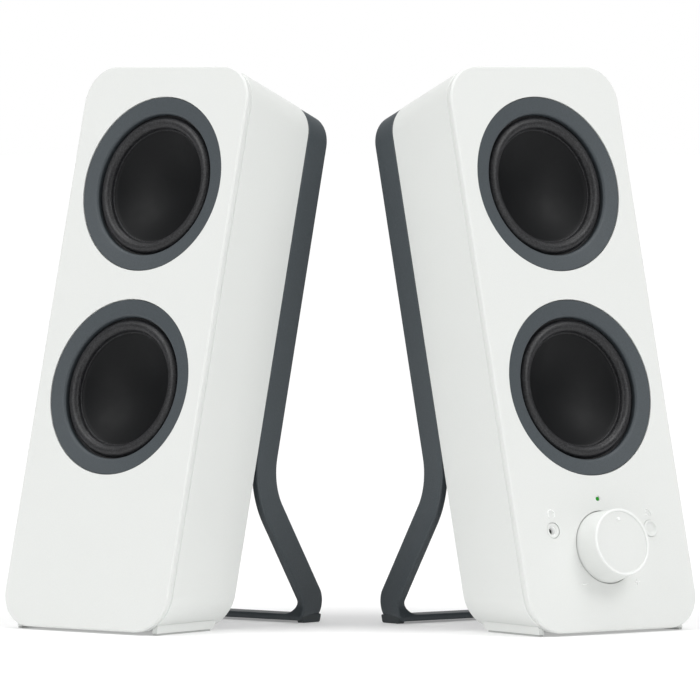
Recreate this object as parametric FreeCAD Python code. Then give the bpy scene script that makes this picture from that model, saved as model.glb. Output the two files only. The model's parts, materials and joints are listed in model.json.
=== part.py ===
"""A pair of desktop computer speakers, each a tall narrow cabinet that leans back
on a ribbon-shaped loop stand. The right speaker carries the controls, the amplifier and the rear
sockets; the left one is a satellite. Each cabinet holds one powered driver above one passive radiator.

Millimetres, +Z up. The speakers face -Y, each turned outwards about Z.

Three frames are used:
  cabinet frame  X to the viewer's right, Y back into the cabinet from the face, Z up along the leaning face,
                 origin at the middle of the face's bottom edge
  upright frame  the same origin, Z vertical, at desk height
  pair frame     both speakers standing on the desk, origin under the middle of the pair
"""

import FreeCAD, Part
import math
import os

from FreeCAD import Placement, Rotation, Vector

# ---- driving dimensions -------------------------------------------------------------------------------

LEAN = 13.95             # degrees that the face leans back from vertical
FACE_WIDTH = 92.4
FACE_HEIGHT = 247.1      # along the leaning face, so that the pair stands 241 mm tall
FACE_RISE = 1.2          # the face's bottom edge above the desk
CORNER_RADIUS = 16.0     # of the face's four corners
TAPER = 0.098            # the sides and the top close in by this much for each mm of depth
CORNER_TAPER = 0.03      # the upper corners' radius loses this much for each mm of depth
HEEL_TAPER = 0.02        # and the lower corners' radius this much
UNDERSIDE_RISE = 0.2421  # the underside climbs the cabinet frame by this, which keeps it about level

PANEL_DEPTH = 4.5        # front panel, within the shell
SEAM_FRONT = 3.5         # the seam between the front panel and the shell
SEAM_BACK = 3.75
SHELL_BACK = 49.1        # depth of the shell's rear edge
WALL = 2.5
FIT = 0.15               # clearance between parts that slot together
COVER_FRONT = 46.3       # depth of the rear cover's inner face

TURNS = {"left": -39.5, "right": 37.8}                  # degrees about Z, outwards
PLACES = {"left": (-115.0, 0.0), "right": (113.9, -8.4)}

UPPER_Z = 195.0          # powered driver's axis, up the face
LOWER_Z = 105.8          # passive radiator's axis
TRIM_RADIUS = 38.2
TRIM_BORE = 31.0
EAR_OFFSET = 29.0        # driver screws from the driver's axis, across and up
FLANGE_FRONT = 4.7       # depth of the driver flange's front face
FLANGE_BACK = 6.5

KNOB_Z = 36.25
KNOB_LENGTH = 11.9       # in front of the face
BUTTON = (26.4, 43.5)    # pairing button, across and up
JACK = (-27.0, 44.4)     # headphone socket
LED_Z = 57.3
BOARD_FRONT = 17.4       # control board
SOCKET_Z = 50.0          # row of sockets on the rear cover
AUX_X = -15.0
SATELLITE_X = 15.0
AMP_FRONT = 36.0         # amplifier board
BOARD_THICKNESS = 1.6

PILLARS = [(33.0, 66.0), (33.0, 151.0), (31.0, 233.0), (31.0, 24.0)]   # mirrored left and right
LUG_PILLARS = PILLARS[1:3]                                             # these also hold the stand
PILLAR_RADIUS = 3.0
LUG_BACK = 52.1

STAND_FRONT = 49.35      # depth of the ribbon's front edge beside the cabinet
STAND_BACK = 64.3
RIBBON = 4.0             # thickness of the ribbon
RIBBON_EDGE = 1.0        # radius of its edges
LEG_ANGLE = 38.3         # degrees from vertical of the legs that kick out behind
LEG_WIDTH = 13.4
REAR_KINK = (81.4, 61.2)  # upright frame, depth and height where the ribbon's rear edge turns
BAR_BOTTOM = 0.7
BAR_FRONT = 103.8
RAIL_BOTTOM = 0.8
RAIL_FRONT = 4.6         # depths of the rails' ends, behind the seam and short of the rear edge
RAIL_BACK = 44.0
RAIL_OUTER = 39.5        # at their front end
RAIL_WIDTH = 2.5
RAIL_TOE_IN = 3.9        # degrees

SIDES = ("left", "right")


# ---- helpers ------------------------------------------------------------------------------------------

def outline(corners, plane):
    """A closed wire through (a, b, radius) corners, each rounded by its own radius."""
    ends = []
    count = len(corners)
    for i, (a, b, radius) in enumerate(corners):
        here = Vector(a, b, 0)
        to_last = (Vector(*corners[i - 1][:2], 0) - here).normalize()
        to_next = (Vector(*corners[(i + 1) % count][:2], 0) - here).normalize()
        if radius <= 0:
            ends.append((here, None, here))
            continue
        half = to_last.getAngle(to_next) / 2
        middle = (to_last + to_next).normalize()
        reach = radius / math.tan(half)
        crown = here + middle * (radius / math.sin(half) - radius)
        ends.append((here + to_last * reach, crown, here + to_next * reach))
    edges = []
    for i, (start, crown, end) in enumerate(ends):
        if crown is not None:
            edges.append(Part.Arc(plane(start), plane(crown), plane(end)).toShape())
        following = ends[(i + 1) % count][0]
        if (following - end).Length > 1e-6:
            edges.append(Part.LineSegment(plane(end), plane(following)).toShape())
    return Part.Wire(edges)


def at_depth(depth):
    """Plane facing the front, at a depth behind the face: (across, up)."""
    return lambda p: Vector(p.x, depth, p.y)


def turned(profile, x=0.0, z=0.0):
    """A solid of revolution about a depth-wise axis, from (radius, depth[, corner radius]) corners."""
    corners = [(p[0], p[1], p[2] if len(p) > 2 else 0.0) for p in profile]
    face = Part.Face(outline(corners, lambda p: Vector(p.x, p.y, 0)))
    solid = face.revolve(Vector(0, 0, 0), Vector(0, 1, 0), 360)
    solid.translate(Vector(x, 0, z))
    return solid


def rod(radius, front, back, x=0.0, z=0.0):
    """A cylinder along the depth."""
    return Part.makeCylinder(radius, back - front, Vector(x, front, z), Vector(0, 1, 0))


def block(x, y, z):
    """A box from three (low, high) pairs."""
    return Part.makeBox(x[1] - x[0], y[1] - y[0], z[1] - z[0], Vector(x[0], y[0], z[0]))


def fused(shapes):
    return shapes[0].multiFuse(shapes[1:]).removeSplitter() if len(shapes) > 1 else shapes[0]


def mirrored_pairs(places):
    return [(side * x, z) for x, z in places for side in (-1, 1)]


def cabinet_section(depth, inset=0.0):
    """The cabinet's outline at a depth, drawn in by an inset."""
    half = FACE_WIDTH / 2 - TAPER * depth - inset
    top = FACE_HEIGHT - TAPER * depth - inset
    bottom = UNDERSIDE_RISE * depth + inset
    low = CORNER_RADIUS - HEEL_TAPER * depth - inset
    high = CORNER_RADIUS - CORNER_TAPER * depth - inset
    corners = [(-half, bottom, low), (half, bottom, low), (half, top, high), (-half, top, high)]
    return outline(corners, at_depth(depth))


def cabinet_slice(front, back, inset=0.0):
    """The tapered cabinet form between two depths."""
    return Part.makeLoft([cabinet_section(front, inset), cabinet_section(back, inset)], True, True)


def edges_near(shape, test):
    return [e for e in shape.Edges if all(test(v.Point) for v in e.Vertexes)]


def lean(shape):
    """Cabinet frame to upright frame."""
    shape = shape.copy()
    shape.Placement = Placement(Vector(0, 0, FACE_RISE), Rotation(Vector(1, 0, 0), -LEAN)).multiply(shape.Placement)
    return shape


def on_desk(depth, up):
    """Cabinet frame to upright frame, for a (depth, up) pair."""
    a = math.radians(LEAN)
    return depth * math.cos(a) + up * math.sin(a), FACE_RISE + up * math.cos(a) - depth * math.sin(a)


# ---- cabinet ------------------------------------------------------------------------------------------

def front_panel(side):
    panel = cabinet_slice(0, SEAM_FRONT)
    panel = panel.makeFillet(1.1, edges_near(panel, lambda p: p.y < 0.01))
    backing = cabinet_slice(SEAM_FRONT, PANEL_DEPTH, WALL + FIT)
    lip = cabinet_slice(PANEL_DEPTH, 8.0, WALL + FIT).cut(cabinet_slice(PANEL_DEPTH, 8.0, WALL + FIT + 1.5))
    pillars = [rod(PILLAR_RADIUS, PANEL_DEPTH, COVER_FRONT - FIT, x, z) for x, z in mirrored_pairs(PILLARS)]
    added = [backing, lip] + pillars
    cuts = [rod(1.4, COVER_FRONT - 12, COVER_FRONT, x, z) for x, z in mirrored_pairs(PILLARS)]
    for z in (UPPER_Z, LOWER_Z):
        cuts.append(rod(TRIM_RADIUS + 0.1, -1, 2.65, 0, z))
        cuts.append(rod(33.65, 2, 5, 0, z))
        cuts += [rod(1.3, 1.4, 5, x, z + dz) for x in (-EAR_OFFSET, EAR_OFFSET) for dz in (-EAR_OFFSET, EAR_OFFSET)]
    if side == "right":
        added += [rod(2.3, PANEL_DEPTH, BOARD_FRONT, x, z) for x, z in board_posts()]
        cuts += [rod(1.0, BOARD_FRONT - 5.5, BOARD_FRONT + 1, x, z) for x, z in board_posts()]
        cuts.append(rod(16.2, -1, 1.5, 0, KNOB_Z))
        cuts.append(rod(3.6, 0, 5, 0, KNOB_Z))
        cuts.append(rod(3.5, -1, 5, *JACK))
        cuts.append(rod(3.75, -1, 5, *BUTTON))
        cuts.append(rod(0.95, -1, 5, 0, LED_Z))
        cuts.append(rod(1.35, -1, 0.3, 0, LED_Z))
    return fused([panel] + added).cut(Part.makeCompound(cuts))


def board_posts():
    return mirrored_pairs([(15.0, 57.0), (15.0, 32.0)])


def cabinet_shell():
    shell = cabinet_slice(SEAM_BACK, SHELL_BACK)
    shell = shell.makeFillet(0.5, edges_near(shell, lambda p: p.y < SEAM_BACK + 0.01))
    shell = shell.makeFillet(0.7, edges_near(shell, lambda p: p.y > SHELL_BACK - 0.01))
    shell = shell.cut(cabinet_slice(SEAM_BACK - 1, SHELL_BACK + 1, WALL))
    ledge = cabinet_slice(COVER_FRONT - 2.6, COVER_FRONT - 0.1, WALL - 0.3)
    ledge = ledge.cut(cabinet_slice(COVER_FRONT - 4, COVER_FRONT + 1, WALL + 2.1))
    return fused([shell, ledge])


def rear_cover(side):
    cover = cabinet_slice(COVER_FRONT, SHELL_BACK, WALL + FIT)
    panel = cabinet_slice(SHELL_BACK - 0.8, SHELL_BACK + 1, 12.0)
    cuts = [panel.common(block((-60, 60), (0, 80), (80, 225)))]
    cuts += [rod(1.7, COVER_FRONT - 1, SHELL_BACK + 1, x, z) for x, z in mirrored_pairs(PILLARS)]
    if side == "right":
        posts = [rod(2.5, AMP_FRONT + BOARD_THICKNESS, COVER_FRONT + 0.5, x, z) for x, z in amp_posts()]
        cover = fused([cover] + posts)
        cuts += [rod(1.0, AMP_FRONT, AMP_FRONT + 8, x, z) for x, z in amp_posts()]
        for x, radius in ((AUX_X, 3.35), (0, 5.35), (SATELLITE_X, 5.2)):
            cuts.append(rod(radius, COVER_FRONT - 1, SHELL_BACK + 1, x, SOCKET_Z))
    else:
        cuts.append(rod(4.6, COVER_FRONT - 1, SHELL_BACK + 1, 0, SOCKET_Z))
    return cover.cut(Part.makeCompound(cuts))


def amp_posts():
    return mirrored_pairs([(23.0, 34.0), (23.0, 94.0)])


def case_screws():
    """Eight long-reach screws; the four that hold the stand's lugs sit that much further out."""
    screws = []
    for x, z in mirrored_pairs(PILLARS):
        seat = LUG_BACK if (abs(x), z) in LUG_PILLARS else SHELL_BACK
        screws.append(pan_screw(seat, 11.0, 2.8, 1.35, x, z))
    return Part.makeCompound(screws)


def pan_screw(seat, length, head, shank, x, z, facing=1):
    """A pan head screw seated at a depth; facing 1 puts its head behind the seat, -1 in front."""
    profile = [
        (0, seat - facing * length),
        (shank, seat - facing * length, 0.3),
        (shank, seat),
        (head, seat),
        (head, seat + facing * head * 0.62, head * 0.35),
        (0, seat + facing * head * 0.62),
    ]
    cross = block((-head * 0.55, head * 0.55), (0, 0.8), (-0.35, 0.35))
    cross = cross.fuse(block((-0.35, 0.35), (0, 0.8), (-head * 0.55, head * 0.55)))
    top = seat + facing * head * 0.62
    cross.translate(Vector(x, top - 0.6 if facing > 0 else top - 0.2, z))
    return turned(profile, x, z).cut(cross)


# ---- driver and radiator ------------------------------------------------------------------------------

BOWL_EDGE = 24.1         # radius where the bowl meets its rim
BOWL_DEPTH = 7.9
RIM_RADIUS = 24.9
RIM_FRONT = 4.75
CONE_SKIN = 0.5


def trim_ring(z):
    return turned([
        (TRIM_RADIUS, 0.25, 0.25), (TRIM_RADIUS, 2.55), (33.4, 2.55), (33.4, 4.0),
        (TRIM_BORE, 4.0, 0.3), (TRIM_BORE, 1.0, 1.4),
    ], 0, z)


def surround(z):
    """The rubber half-roll with its two landings."""
    return turned([
        (24.3, 4.1, 0.2), (24.9, 4.1, 0.2), (24.9, 1.3, 2.55), (30.1, 1.3, 2.55), (30.1, 4.1, 0.2), (33.2, 4.1),
        (33.2, 4.6), (29.6, 4.6, 0.2), (29.6, 1.8, 2.05), (25.4, 1.8, 2.05), (25.4, 4.6, 0.2), (24.3, 4.6, 0.2),
    ], 0, z)


def bowl_curve(skin):
    """Three points of the bowl's arc, from its rim to its middle; skin shifts it back."""
    ball = (BOWL_EDGE ** 2 + BOWL_DEPTH ** 2) / (2 * BOWL_DEPTH)
    middle = BOWL_EDGE * 0.55
    drop = ball - math.sqrt(ball ** 2 - middle ** 2)
    bottom = RIM_FRONT + BOWL_DEPTH + skin
    return Vector(BOWL_EDGE, RIM_FRONT + skin, 0), Vector(middle, bottom - drop, 0), Vector(0, bottom, 0)


def cone(z):
    """One-piece dished diaphragm with a flat rim."""
    front, back = bowl_curve(0.0), bowl_curve(CONE_SKIN)
    rim_front = Vector(RIM_RADIUS, RIM_FRONT, 0)
    rim_back = Vector(RIM_RADIUS, RIM_FRONT + CONE_SKIN, 0)
    edges = [
        Part.Arc(*front).toShape(), Part.LineSegment(front[2], back[2]).toShape(),
        Part.Arc(back[2], back[1], back[0]).toShape(), Part.LineSegment(back[0], rim_back).toShape(),
        Part.LineSegment(rim_back, rim_front).toShape(), Part.LineSegment(rim_front, front[0]).toShape(),
    ]
    solid = Part.Face(Part.Wire(edges)).revolve(Vector(0, 0, 0), Vector(0, 1, 0), 360)
    solid.translate(Vector(0, 0, z))
    return solid


def flange_ears(z):
    """Four screw ears that reach out from the round flange at 45 degrees."""
    ears, holes = [], []
    for x in (-EAR_OFFSET, EAR_OFFSET):
        for up in (-EAR_OFFSET, EAR_OFFSET):
            ears.append(rod(4.2, FLANGE_FRONT, FLANGE_BACK, x, z + up))
            arm = block((31.0, math.hypot(x, up)), (FLANGE_FRONT, FLANGE_BACK), (-4.2, 4.2))
            arm.rotate(Vector(0, 0, 0), Vector(0, 1, 0), -math.degrees(math.atan2(up, x)))
            arm.translate(Vector(0, 0, z))
            ears.append(arm)
            holes.append(rod(1.6, FLANGE_FRONT - 1, FLANGE_BACK + 1, x, z + up))
    return ears, holes


def driver_basket(z):
    body = turned([
        (29.0, FLANGE_FRONT), (37.6, FLANGE_FRONT, 0.4), (37.6, FLANGE_BACK, 0.4), (33.5, FLANGE_BACK, 0.8),
        (25.4, 16.9, 0.8), (25.4, 18.5), (11.6, 18.5), (11.6, 16.9), (21.8, 16.9), (21.8, 14.25),
        (25.0, 14.25), (31.9, FLANGE_BACK), (29.0, FLANGE_BACK),
    ], 0, z)
    windows = []
    for i in range(6):
        window = block((24.0, 40.0), (8.2, 13.4), (-8.0, 8.0))
        window.rotate(Vector(0, 0, 0), Vector(0, 1, 0), 60 * i + 30)
        window.translate(Vector(0, 0, z))
        windows.append(window)
    ears, holes = flange_ears(z)
    return fused([body] + ears).cut(Part.makeCompound(windows + holes))


def radiator_frame(z):
    body = turned([
        (29.0, FLANGE_FRONT), (37.6, FLANGE_FRONT, 0.4), (37.6, FLANGE_BACK, 0.4), (33.0, FLANGE_BACK, 0.6),
        (33.0, 12.0, 0.5), (31.2, 12.0), (31.2, FLANGE_BACK), (29.0, FLANGE_BACK),
    ], 0, z)
    ears, holes = flange_ears(z)
    return fused([body] + ears).cut(Part.makeCompound(holes))


def spider(z):
    """Corrugated centring disc between the coil former and the basket's shelf."""
    rings = [(12.4 + 1.7 * i, 13.25 if i % 2 else 12.25) for i in range(6)]
    front = [(10.3, 12.9)] + rings + [(22.4, 13.6), (24.6, 13.6)]
    back = [(r, y + 0.5) for r, y in reversed(front)]
    return turned([(r, y, 0.25) for r, y in front[:-1]] + [front[-1], back[0]]
                  + [(r, y, 0.25) for r, y in back[1:-1]] + [back[-1]], 0, z)


def voice_coil(z):
    return turned([
        (9.7, 12.1), (10.05, 12.1), (10.05, 17.0), (10.75, 17.0), (10.75, 23.0), (10.05, 23.0),
        (10.05, 24.0), (9.7, 24.0),
    ], 0, z)


def top_plate(z):
    return turned([(11.3, 18.55), (22.0, 18.55, 0.4), (22.0, 21.5, 0.4), (11.3, 21.5)], 0, z)


def magnet(z):
    return turned([(12.6, 21.55), (23.5, 21.55, 0.6), (23.5, 29.5, 0.6), (12.6, 29.5)], 0, z)


def yoke(z):
    return turned([
        (0, 18.7), (9.3, 18.7, 0.3), (9.3, 29.55), (22.0, 29.55, 0.4), (22.0, 32.5, 1.0), (0, 32.5),
    ], 0, z)


def radiator_weight(z):
    return turned([(0, 13.2), (4.0, 13.2), (4.0, 13.8), (9.0, 13.8, 0.3), (9.0, 17.0, 0.5), (0, 17.0)], 0, z)


def driver_screws():
    return Part.makeCompound([
        pan_screw(FLANGE_BACK, 4.9, 2.7, 1.25, x, z + up)
        for z in (UPPER_Z, LOWER_Z) for x in (-EAR_OFFSET, EAR_OFFSET) for up in (-EAR_OFFSET, EAR_OFFSET)
    ])


# ---- controls and electronics of the right speaker ----------------------------------------------------

def volume_knob():
    body = turned([
        (0, 0.3 - KNOB_LENGTH), (13.3, 0.3 - KNOB_LENGTH, 0.2), (13.3, -KNOB_LENGTH, 0.2),
        (14.2, -KNOB_LENGTH, 0.45), (15.6, 1.1, 0.3), (13.2, 1.1), (12.4, -9.4), (5.2, -9.4), (5.2, 1.0),
        (3.03, 1.0), (3.03, -8.6), (0, -8.6),
    ], 0, KNOB_Z)
    crown = -0.15 - KNOB_LENGTH
    pointer = turned([(0, crown), (0.9, crown, 0.3), (0.9, crown + 1), (0, crown + 1)], 0, KNOB_Z + 9.9)
    return fused([body, pointer])


def knob_shaft():
    return turned([(0, -8.5), (3.0, -8.5, 0.4), (3.0, 13.5, 0.3), (0, 13.5)], 0, KNOB_Z)


def potentiometer():
    body = block((-6.5, 6.5), (11.0, BOARD_FRONT), (KNOB_Z - 6.5, KNOB_Z + 6.5))
    bush = rod(4.5, 4.8, 12, 0, KNOB_Z)
    return fused([body, bush]).cut(rod(3.05, 4, 14.0, 0, KNOB_Z))


def pairing_button():
    return turned([
        (0, -0.2), (3.6, -0.2, 0.35), (3.6, 4.8), (4.6, 4.8), (4.6, 5.8), (1.6, 5.8), (1.6, 12.25, 0.3), (0, 12.25),
    ], *BUTTON)


def button_switch():
    x, z = BUTTON
    return fused([block((x - 3, x + 3), (13.9, BOARD_FRONT), (z - 3, z + 3)), rod(1.7, 13.05, 14.5, x, z)])


def headphone_socket():
    x, z = JACK
    body = block((x - 3.9, x + 3.9), (4.7, BOARD_FRONT), (z - 3.9, z + 3.9))
    neck = turned([(0, 0.15), (3.35, 0.15, 0.35), (3.35, 5.5), (0, 5.5)], x, z)
    return fused([body, neck]).cut(rod(1.8, 0, 15.0, x, z))


def light_pipe():
    return turned([(0, 0.15), (0.85, 0.15, 0.2), (0.85, 4.7), (1.7, 4.7), (1.7, 6.0), (0.85, 6.0), (0.85, 15.3),
                   (0, 15.3)], 0, LED_Z)


def control_board():
    board = block((-31, 31), (BOARD_FRONT, BOARD_FRONT + BOARD_THICKNESS), (28.5, 60.8))
    lamp = block((-1.5, 1.5), (15.5, BOARD_FRONT + 0.5), (LED_Z - 1.5, LED_Z + 1.5))
    back = BOARD_FRONT + BOARD_THICKNESS
    chip = block((-5, 5), (back - 0.5, back + 1.2), (45, 53))
    plug = block((-24, -14), (back - 0.5, back + 6), (36, 41))
    holes = [rod(1.2, 15, 22, x, z) for x, z in board_posts()]
    return fused([board, lamp, chip, plug]).cut(Part.makeCompound(holes))


def amplifier_board():
    board = block((-27, 27), (AMP_FRONT, AMP_FRONT + BOARD_THICKNESS), (30, 98))
    front = AMP_FRONT + 0.5
    parts = [rod(r, AMP_FRONT - h, front, x, z) for r, h, x, z in ((5, 10, -16, 44), (5, 10, -4, 42), (3.2, 8, 7, 40))]
    fins = [block((-14 + 5 * i, -12 + 5 * i), (AMP_FRONT - 9, front), (66, 84)) for i in range(6)]
    sink = block((-14, 13), (AMP_FRONT - 2.5, front), (66, 84))
    plug = block((16, 24), (AMP_FRONT - 6, front), (56, 62))
    holes = [rod(1.2, AMP_FRONT - 1, AMP_FRONT + 3, x, z) for x, z in amp_posts()]
    return fused([board, sink, plug] + parts + fins).cut(Part.makeCompound(holes))


def socket_body(x, half):
    back = COVER_FRONT - 0.2
    return block((x - half, x + half), (AMP_FRONT + BOARD_THICKNESS, back), (SOCKET_Z - half, SOCKET_Z + half))


def aux_socket():
    neck = turned([(0, 45), (3.2, 45), (3.2, 49.7, 0.3), (0, 49.7)], AUX_X, SOCKET_Z)
    return fused([socket_body(AUX_X, 4.0), neck]).cut(rod(1.8, 38.7, 51, AUX_X, SOCKET_Z))


def power_socket():
    neck = turned([(0, 45), (5.2, 45), (5.2, 49.7, 0.4), (0, 49.7)], 0, SOCKET_Z)
    well = rod(2.85, 40.5, 51, 0, SOCKET_Z)
    pin = turned([(0, 39), (1.0, 39), (1.0, 48.6, 0.4), (0, 48.6)], 0, SOCKET_Z)
    return fused([fused([socket_body(0, 5.5), neck]).cut(well), pin])


def satellite_socket():
    """Phono socket for the lead to the left speaker."""
    barrel = turned([
        (0, 45), (5.0, 45), (5.0, 50.2, 0.3), (4.15, 50.2), (4.15, 57.6, 0.4), (0, 57.6),
    ], SATELLITE_X, SOCKET_Z)
    return fused([socket_body(SATELLITE_X, 5.5), barrel]).cut(rod(1.65, 47, 59, SATELLITE_X, SOCKET_Z))


def board_screws():
    screws = [pan_screw(BOARD_FRONT + BOARD_THICKNESS, 5.5, 2.0, 0.95, x, z) for x, z in board_posts()]
    screws += [pan_screw(AMP_FRONT, 6.0, 2.0, 0.95, x, z, facing=-1) for x, z in amp_posts()]
    return Part.makeCompound(screws)


def cable_gland():
    """Rubber bush in the left speaker's rear cover."""
    return turned([
        (2.25, 44.4), (5.6, 44.4, 0.3), (5.6, 46.1), (4.4, 46.1), (4.4, 49.3), (6.2, 49.3), (6.2, 50.3, 0.4),
        (4.6, 51.6, 0.4), (2.25, 51.6),
    ], 0, SOCKET_Z)


# ---- stand and feet, in the upright frame -------------------------------------------------------------

def ribbon_form(inset):
    """The loop's outer form, or its inner one, as a taper from beside the cabinet to behind the feet."""
    slope = math.tan(math.radians(LEAN))
    floor = (BAR_BOTTOM - FACE_RISE) / math.cos(math.radians(LEAN))
    sections = []
    for depth in (STAND_FRONT - 4, 140.0):
        half = FACE_WIDTH / 2 - TAPER * depth - inset
        top = FACE_HEIGHT - TAPER * depth - inset
        bottom = floor + slope * depth + inset * 0.8
        top_radius = CORNER_RADIUS - CORNER_TAPER * depth - inset
        foot_radius = 3.5 if inset < 1 else 7.0
        sections.append(outline([
            (-half, bottom, foot_radius), (half, bottom, foot_radius),
            (half, top, top_radius), (-half, top, top_radius),
        ], at_depth(depth)))
    return lean(Part.makeLoft(sections, True, True))


def stand_profile():
    """Side view of the bent ribbon: up the cabinet's back, then kicked out to the desk."""
    a, b = math.radians(LEAN), math.radians(LEG_ANGLE)
    down = (math.sin(b), -math.cos(b))
    inward = (-math.cos(b), -math.sin(b))
    kink = REAR_KINK
    leg = (kink[1] - BAR_BOTTOM) / math.cos(b)
    heel = (kink[0] + down[0] * leg, BAR_BOTTOM)
    front_start = (kink[0] + inward[0] * LEG_WIDTH, kink[1] + inward[1] * LEG_WIDTH)
    front_up = on_desk(STAND_FRONT, 270)
    across = front_start[0] - front_up[0]
    rise = front_start[1] - front_up[1]
    along = (across * math.cos(a) - rise * math.sin(a)) / (math.sin(b) * math.cos(a) + math.cos(b) * math.sin(a))
    front_kink = (front_start[0] - down[0] * along, front_start[1] - down[1] * along)
    toe_height = 8.0
    toe = front_start[0] + (front_start[1] - toe_height) * math.tan(b)
    rear_up = on_desk(STAND_BACK, 270)
    corners = [
        (*front_up, 0), (*rear_up, 0), (*kink, 24.0), (*heel, 8.5),
        (BAR_FRONT, BAR_BOTTOM, 2.0), (toe, toe_height, 5.0), (*front_kink, 40.0),
    ]
    wire = outline(corners, lambda p: Vector(-60, p.x, p.y))
    return Part.Face(wire).extrude(Vector(120, 0, 0))


def stand():
    loop = ribbon_form(0.2).cut(ribbon_form(RIBBON)).common(stand_profile())
    loop = loop.makeFillet(RIBBON_EDGE, loop.Edges)
    lugs = []
    for x, z in mirrored_pairs(LUG_PILLARS):
        reach = (x - 5.0, x + 6.0) if x > 0 else (x - 6.0, x + 5.0)
        lug = block(reach, (SHELL_BACK + 0.2, LUG_BACK), (z - 5, z + 5))
        outside = cabinet_slice(SHELL_BACK, LUG_BACK + 1, 1.5)
        lugs.append(lean(lug.common(outside).cut(rod(1.7, 40, 60, x, z))))
    return fused([loop] + lugs)


def side_bar(profile, outer, width):
    """A bar along one side of the stand, its side view given by (depth, height, radius) corners."""
    face = Part.Face(outline(profile, lambda p: Vector(outer - width, p.x, p.y)))
    return face.extrude(Vector(width, 0, 0))


def toed_in(shape):
    """Turned about the rails' front end, so that they follow the cabinet's taper."""
    shape.rotate(Vector(RAIL_OUTER, RAIL_FRONT, 0), Vector(0, 0, 1), RAIL_TOE_IN)
    return shape


def both_sides(shape):
    return Part.makeCompound([shape, shape.mirror(Vector(0, 0, 0), Vector(1, 0, 0))])


def rail_end(depth, height):
    """Depth in the upright frame of a rail's end, which leans with the cabinet."""
    slope = math.tan(math.radians(LEAN))
    return on_desk(depth, depth * UNDERSIDE_RISE)[0] + (height - FACE_RISE) * slope


def front_shoes():
    """Two narrow rails under the cabinet's rounded lower corners, down to their rubber strips."""
    top = 10.0
    rail = toed_in(side_bar([
        (rail_end(RAIL_FRONT, RAIL_BOTTOM), RAIL_BOTTOM, 0.3), (rail_end(RAIL_BACK, RAIL_BOTTOM), RAIL_BOTTOM, 2.0),
        (rail_end(RAIL_BACK, top), top, 0), (rail_end(RAIL_FRONT, top), top, 0),
    ], RAIL_OUTER, RAIL_WIDTH))
    rail = rail.cut(lean(cabinet_slice(0, 70, -0.05)))
    lowest = min(rail.Solids, key=lambda s: s.BoundBox.ZMin)
    return both_sides(lowest)


def front_rubbers():
    front, back = rail_end(RAIL_FRONT, 0) + 0.3, rail_end(RAIL_BACK, 0) - 2.2
    top = RAIL_BOTTOM - 0.02
    return both_sides(toed_in(side_bar([
        (front, 0.0, 0.2), (back, 0.0, 0.2), (back, top, 0), (front, top, 0),
    ], RAIL_OUTER - 0.4, RAIL_WIDTH - 0.8)))


def rear_rubbers(loop):
    """Soft shoes that wrap the two heels of the stand."""
    side = FACE_WIDTH / 2 - TAPER * 116.0
    pad = side_bar([(104.6, 3.6, 0.6), (106.3, 0.0, 1.0), (117.3, 0.0, 1.2), (118.2, 3.6, 0.6)], side + 0.7, 3.3)
    pad = pad.makeFillet(0.3, edges_near(pad, lambda p: p.x > side + 0.69))
    pad = pad.cut(loop)
    lowest = min(pad.Solids, key=lambda s: s.BoundBox.ZMin)
    return both_sides(lowest)


# ---- assembly -----------------------------------------------------------------------------------------

def cabinet_parts(side):
    """Everything that leans with the cabinet, in the cabinet frame."""
    parts = {
        "front_panel": front_panel(side),
        "cabinet_shell": cabinet_shell(),
        "rear_cover": rear_cover(side),
        "case_screws": case_screws(),
        "driver_screws": driver_screws(),
        "upper_trim_ring": trim_ring(UPPER_Z),
        "lower_trim_ring": trim_ring(LOWER_Z),
        "driver_surround": surround(UPPER_Z),
        "driver_cone": cone(UPPER_Z),
        "driver_basket": driver_basket(UPPER_Z),
        "driver_spider": spider(UPPER_Z),
        "driver_voice_coil": voice_coil(UPPER_Z),
        "driver_top_plate": top_plate(UPPER_Z),
        "driver_magnet": magnet(UPPER_Z),
        "driver_yoke": yoke(UPPER_Z),
        "radiator_surround": surround(LOWER_Z),
        "radiator_cone": cone(LOWER_Z),
        "radiator_frame": radiator_frame(LOWER_Z),
        "radiator_weight": radiator_weight(LOWER_Z),
    }
    if side == "left":
        parts["cable_gland"] = cable_gland()
        return parts
    parts.update({
        "volume_knob": volume_knob(),
        "knob_shaft": knob_shaft(),
        "potentiometer": potentiometer(),
        "pairing_button": pairing_button(),
        "button_switch": button_switch(),
        "headphone_socket": headphone_socket(),
        "light_pipe": light_pipe(),
        "control_board": control_board(),
        "amplifier_board": amplifier_board(),
        "aux_socket": aux_socket(),
        "power_socket": power_socket(),
        "satellite_socket": satellite_socket(),
        "board_screws": board_screws(),
    })
    return parts


def upright_parts():
    loop = stand()
    return {
        "stand": loop,
        "front_shoes": front_shoes(),
        "front_rubbers": front_rubbers(),
        "rear_rubbers": rear_rubbers(loop),
    }


def speaker(side):
    """All parts of one speaker where they stand, by node name."""
    placed = Placement(Vector(*PLACES[side], 0), Rotation(Vector(0, 0, 1), TURNS[side]))
    shapes = {name: lean(shape) for name, shape in cabinet_parts(side).items()}
    shapes.update(upright_parts())
    for shape in shapes.values():
        shape.Placement = placed.multiply(shape.Placement)
    return {f"{side}_{name}": shape for name, shape in shapes.items()}


def main():
    os.makedirs("parts", exist_ok=True)
    for old in os.listdir("parts"):
        os.remove(os.path.join("parts", old))
    nodes = {}
    for side in SIDES:
        nodes.update(speaker(side))
    box = Part.makeCompound(list(nodes.values())).optimalBoundingBox(False, False)
    to_middle = Vector(-box.Center.x, -box.Center.y, -box.ZMin)
    for name, shape in nodes.items():
        shape.translate(to_middle)
        assert shape.isValid(), name
        shape.exportStep(os.path.join("parts", name + ".step"))
    print(len(nodes), "nodes, box", box, "moved by", to_middle)


main()
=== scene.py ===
import json
import math

import bmesh
import bpy
from mathutils import Matrix, Vector


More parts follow.
